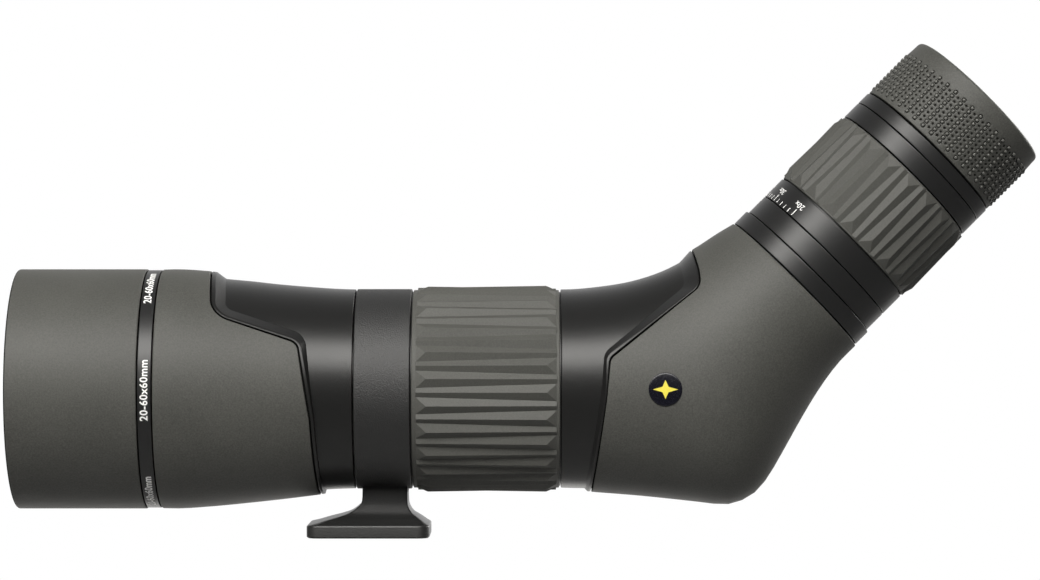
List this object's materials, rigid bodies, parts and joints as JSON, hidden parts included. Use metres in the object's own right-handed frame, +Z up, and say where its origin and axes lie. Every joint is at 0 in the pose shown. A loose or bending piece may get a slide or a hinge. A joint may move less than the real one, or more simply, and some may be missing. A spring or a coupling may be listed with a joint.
{
  "type": "spotting scope",
  "caption": "Angled spotting scope with sliding sun hood, rotating tripod collar and foot, ribbed focus ring, prism housing, zoom eyepiece and twist-up eyecup.",
  "frame": {"origin": "centre of the tripod screw socket's mouth in the flat underside of the foot", "axes": "+X along the objective tube towards the eyepiece end (the objective looks along -X), +Z up, +Y towards the lock knob's side; the eyepiece axis lies in the XZ plane at 45 degrees, along (1, 0, 1)"},
  "size_m": [0.3227, 0.083, 0.1561],
  "materials": {
    "olive_rubber": "grained matte olive-grey armour",
    "hood_shell": "grained matte olive-grey coating",
    "black_paint": "fine matte black paint on a light alloy casting",
    "black_anodised": "satin black anodised",
    "coated_glass": "polished, anti-reflection coated",
    "brass": "machined",
    "steel": "machined",
    "nylon": "natural",
    "seal_rubber": "moulded black",
    "badge_enamel": "dark enamel with a plain yellow motif"
  },
  "bodies": {
    "tripod_mount": {"tripod_collar": "black_paint", "tripod_thread_insert": "steel", "collar_bush": "nylon"},
    "scope": {"objective_tube": "black_anodised", "objective_seal": "seal_rubber", "hood_friction_band": "seal_rubber", "name_ring": "black_anodised", "objective_cell": "black_anodised", "objective_retainer": "black_anodised", "objective_crown_lens": "coated_glass", "objective_spacer": "black_anodised", "objective_flint_lens": "coated_glass", "front_barrel": "black_paint", "focus_seal_front": "seal_rubber", "focus_seal_rear": "seal_rubber", "front_armour": "olive_rubber", "prism_housing": "black_paint", "housing_lock_ring": "black_anodised", "rear_armour": "olive_rubber", "badge": "badge_enamel", "roof_prism": "coated_glass", "prism_cheek_left": "black_anodised", "prism_cheek_right": "black_anodised", "prism_strap": "steel", "strap_screw_left": "steel", "strap_screw_right": "steel", "eyepiece_tube": "black_anodised", "neck_ring": "black_anodised", "index_ring": "black_anodised", "top_ring": "black_anodised", "eyecup_seat_ring": "black_anodised", "eye_lens_cell": "black_anodised", "field_lens": "coated_glass", "eye_lens_spacer": "black_anodised", "eye_lens": "coated_glass", "eye_lens_bezel": "black_anodised"},
    "lock": {"lock_knob": "black_paint"},
    "hood": {"sun_hood": "hood_shell"},
    "focus": {"focus_ring": "black_anodised", "focus_grip": "olive_rubber"},
    "focus_carriage": {"focus_cell": "black_anodised", "focus_lens": "coated_glass", "focus_lens_retainer": "black_anodised", "focus_key": "brass"},
    "zoom": {"zoom_ring": "black_anodised", "zoom_grip": "olive_rubber", "zoom_cam_sleeve": "brass"},
    "zoom_front": {"zoom_front_cell": "black_anodised", "zoom_front_lens": "coated_glass", "zoom_front_pin": "steel"},
    "zoom_rear": {"zoom_rear_cell": "black_anodised", "zoom_rear_lens": "coated_glass", "zoom_rear_pin": "steel"},
    "eyecup_glide": {"eyecup_guide_ring": "brass"},
    "eyecup": {"eyecup_sleeve": "black_anodised", "eyecup_rubber": "olive_rubber"}
  },
  "joints": [
    {"name": "collar_turn", "type": "hinge", "parent": "tripod_mount", "child": "scope", "pos_m": [0.0049, 0, 0.0466], "axis": [1, 0, 0], "range_deg": [-180, 180]},
    {"name": "lock_knob_turn", "type": "hinge", "parent": "tripod_mount", "child": "lock", "pos_m": [0.0049, 0.04, 0.0466], "axis": [0, 1, 0], "range_deg": [-270, 0]},
    {"name": "hood_slide", "type": "slide", "parent": "scope", "child": "hood", "axis": [-1, 0, 0], "range_m": [0, 0.028]},
    {"name": "focus_turn", "type": "hinge", "parent": "scope", "child": "focus", "pos_m": [0.0371, 0, 0.0466], "axis": [1, 0, 0], "range_deg": [-270, 270]},
    {"name": "focus_carriage_slide", "type": "slide", "parent": "scope", "child": "focus_carriage", "axis": [1, 0, 0], "range_m": [-0.007, 0.007]},
    {"name": "zoom_turn", "type": "hinge", "parent": "scope", "child": "zoom", "pos_m": [0.15743, 0, 0.10218], "axis": [0.7071, 0, 0.7071], "range_deg": [-52, 52]},
    {"name": "zoom_front_slide", "type": "slide", "parent": "scope", "child": "zoom_front", "axis": [0.7071, 0, 0.7071], "range_m": [-0.0039, 0.0039]},
    {"name": "zoom_rear_slide", "type": "slide", "parent": "scope", "child": "zoom_rear", "axis": [0.7071, 0, 0.7071], "range_m": [-0.0029, 0.0029]},
    {"name": "eyecup_rise", "type": "slide", "parent": "scope", "child": "eyecup_glide", "axis": [0.7071, 0, 0.7071], "range_m": [0, 0.009]},
    {"name": "eyecup_turn", "type": "hinge", "parent": "eyecup_glide", "child": "eyecup", "pos_m": [0.186, 0, 0.13075], "axis": [0.7071, 0, 0.7071], "range_deg": [0, 240]}
  ],
  "couplings": [
    {"joint": "focus_carriage_slide", "follows": "focus_turn", "m_per_rad": 0.001485},
    {"joint": "zoom_front_slide", "follows": "zoom_turn", "m_per_rad": 0.0042},
    {"joint": "zoom_rear_slide", "follows": "zoom_turn", "m_per_rad": -0.0031},
    {"joint": "eyecup_rise", "follows": "eyecup_turn", "m_per_rad": 0.002148}
  ]
}
